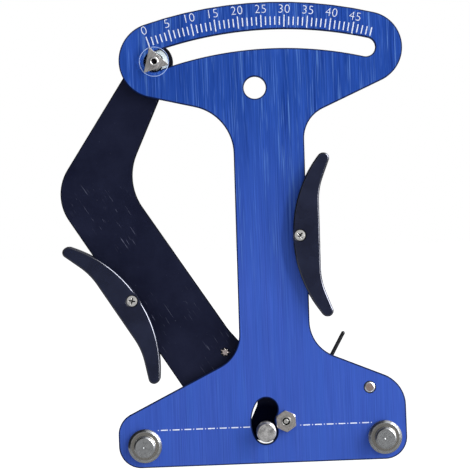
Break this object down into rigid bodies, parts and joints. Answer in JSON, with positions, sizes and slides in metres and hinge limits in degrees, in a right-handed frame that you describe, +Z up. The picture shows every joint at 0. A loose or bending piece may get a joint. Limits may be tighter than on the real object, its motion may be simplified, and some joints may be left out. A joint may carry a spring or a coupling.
{
  "type": "spoke tension meter",
  "caption": "Hand tool with a blue dial plate and a sprung black arm behind it, which reads the tension of a wheel spoke held between three posts.",
  "frame": {"origin": "centre of the hanging hole, at the middle of the body plate's thickness", "axes": "+Z up as the tool hangs, square to the line of the two fixed posts; +X to the right along that line; the dial faces -Y"},
  "size_m": [0.1565, 0.0331, 0.2076],
  "materials": {
    "blue_anodised": "blue anodised, brushed lengthways",
    "white_print": "white screen print",
    "black_plate": "smooth blue-black coating with fine scratches",
    "steel": "turned and brushed",
    "white_nylon": "plain nylon",
    "black_wire": "black oxide",
    "clear_plastic": "clear, polished",
    "black_plastic": "black moulded plastic, soft sheen"
  },
  "bodies": {
    "body": {"body_plate": "blue_anodised", "scale_marks": "white_print", "spoke_line": "white_print", "pivot_bolt": "steel", "pivot_nut": "steel", "pivot_sleeve": "steel", "front_collar": "steel", "thrust_washer": "white_nylon", "rear_washer": "steel", "torsion_spring": "black_wire", "left_post": "steel", "right_post": "steel", "left_post_screw": "steel", "right_post_screw": "steel", "adjuster_barrel": "steel", "adjuster_screw": "black_wire", "adjuster_lock_nut": "steel", "right_grip_front": "black_plastic", "right_grip_rear": "black_plastic", "right_grip_screw": "steel", "right_grip_nut": "steel"},
    "arm": {"arm_plate": "black_plate", "arm_spring_pin": "steel", "moving_post": "steel", "pointer_spacer": "steel", "pointer_lens": "clear_plastic", "pointer_plate": "steel", "pointer_screw": "steel", "left_grip_front": "black_plastic", "left_grip_rear": "black_plastic", "left_grip_screw": "steel", "left_grip_nut": "steel"}
  },
  "joints": [
    {"name": "arm_pivot", "type": "hinge", "parent": "body", "child": "arm", "pos_m": [0.00841, 0, -0.15046], "axis": [0, 1, 0], "range_deg": [0, 32.2], "stiffness_Nm_per_rad": 0.74, "springref_deg": -20.05, "deforming": ["torsion_spring"]}
  ]
}
